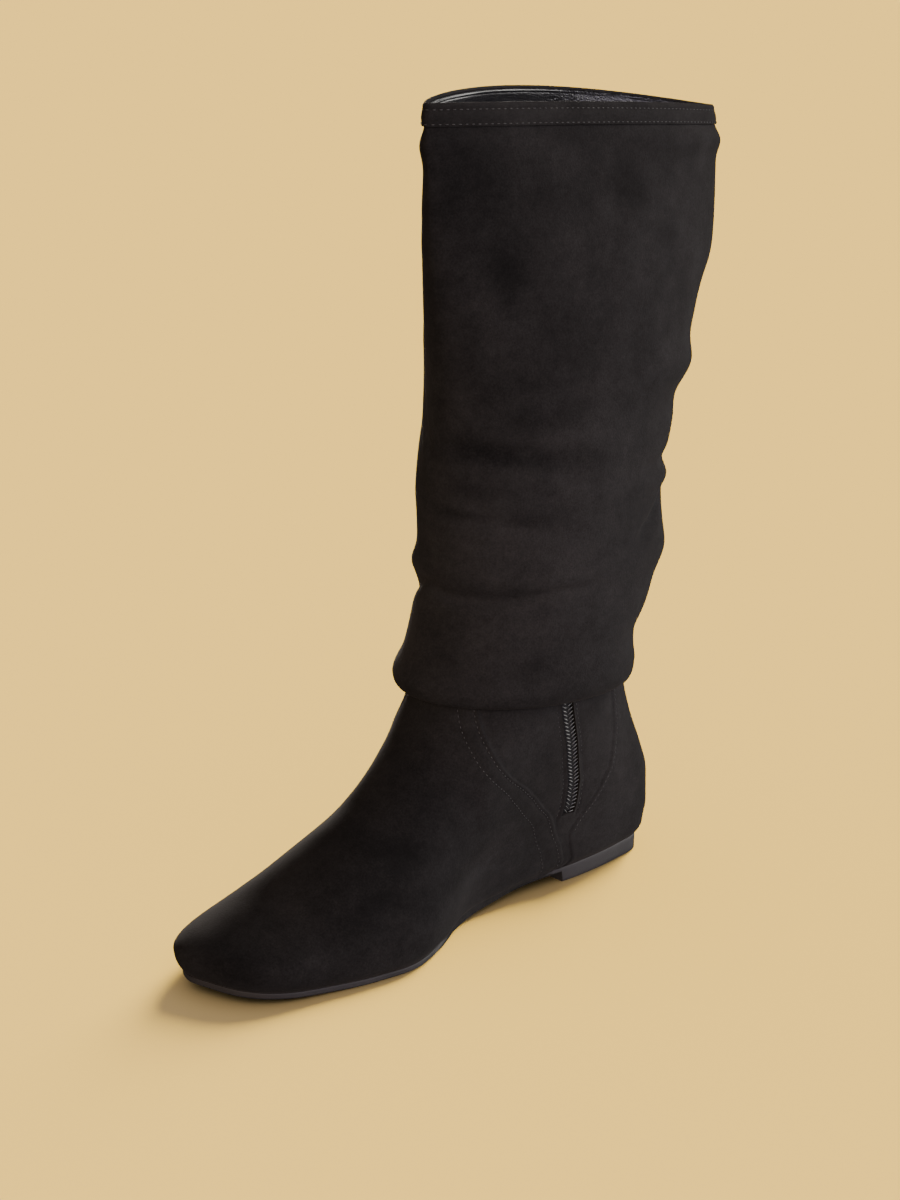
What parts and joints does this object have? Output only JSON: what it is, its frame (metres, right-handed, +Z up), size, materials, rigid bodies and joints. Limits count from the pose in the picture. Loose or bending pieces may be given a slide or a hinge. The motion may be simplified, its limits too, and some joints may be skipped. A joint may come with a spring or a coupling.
{
  "type": "slouch boot",
  "caption": "Right slouch boot with a low flat sole, soft square toe, short zip on the inner ankle and a tall soft shaft that folds over the ankle below a stitched top band.",
  "frame": {"origin": "middle of the boot's box at floor level", "axes": "+Z up the shaft, toe towards -Y, inner side of the right foot towards +X"},
  "size_m": [0.0916, 0.3108, 0.3752],
  "materials": {
    "sole_rubber": "satin moulded rubber, dark blue grey",
    "insole_lining": "smooth black lining leather",
    "suede": "brushed black suede cloth",
    "shaft_suede": "brushed black suede cloth, soft and slouched",
    "band_suede": "brushed black suede cloth, stitched flat",
    "zip_tape_cloth": "woven black tape",
    "zip_nylon": "glossy black coil"
  },
  "bodies": {
    "root": {"outsole": "sole_rubber", "insole": "insole_lining", "upper": "suede", "shaft": "shaft_suede", "collar_band": "band_suede", "zip_tape": "zip_tape_cloth", "zip_coil": "zip_nylon"}
  },
  "joints": []
}
